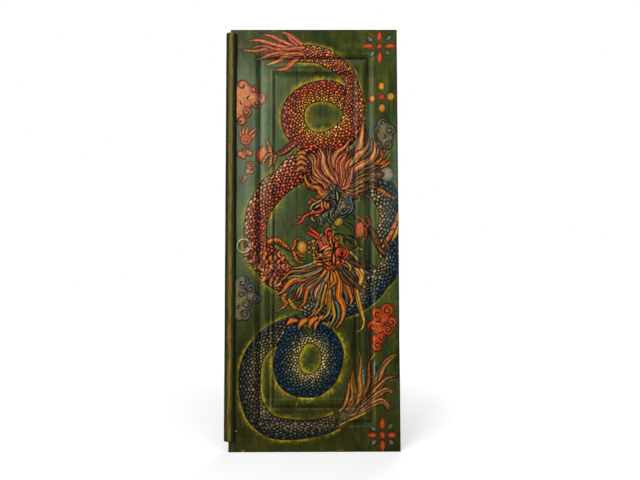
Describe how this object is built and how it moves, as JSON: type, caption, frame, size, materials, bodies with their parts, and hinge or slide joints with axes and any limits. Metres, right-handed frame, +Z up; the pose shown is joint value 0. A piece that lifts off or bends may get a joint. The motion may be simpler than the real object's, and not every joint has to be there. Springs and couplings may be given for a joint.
{
  "type": "carved door leaf",
  "caption": "Framed and planked wooden door leaf carved with coiling dragons, with a meeting strip and a ring pull.",
  "frame": {"origin": "middle of the leaf's bottom edge, halfway through its thickness", "axes": "+Z up the leaf, -Y out of the carved face, +X towards the hinge side"},
  "size_m": [0.82, 0.0685, 2],
  "materials": {
    "frame_paint": "oil paint over carved wood, aged varnish",
    "moulding_paint": "oil paint over carved wood, aged varnish",
    "field_paint": "oil paint over carved wood, aged varnish",
    "strip_paint": "painted green with a gilded crown, worn",
    "bare_wood": "planed softwood, darkened",
    "nail_iron": "forged, painted over",
    "pull_metal": "hand-polished by use"
  },
  "bodies": {
    "leaf": {"hinge_stile": "frame_paint", "lock_stile": "frame_paint", "top_rail": "frame_paint", "bottom_rail": "frame_paint", "moulding_left": "moulding_paint", "moulding_right": "moulding_paint", "moulding_top": "moulding_paint", "moulding_bottom": "moulding_paint", "plank_left": "field_paint", "plank_middle": "field_paint", "plank_right": "field_paint", "batten_lower": "bare_wood", "batten_middle": "bare_wood", "batten_upper": "bare_wood", "tenon_wedges": "bare_wood", "meeting_strip": "strip_paint", "strip_nails": "nail_iron", "pull_eye": "pull_metal"},
    "ring": {"pull_ring": "pull_metal"}
  },
  "joints": [
    {"name": "ring_swing", "type": "hinge", "parent": "leaf", "child": "ring", "pos_m": [-0.331, -0.032, 0.989], "axis": [-1, 0, 0], "range_deg": [0, 170]}
  ]
}
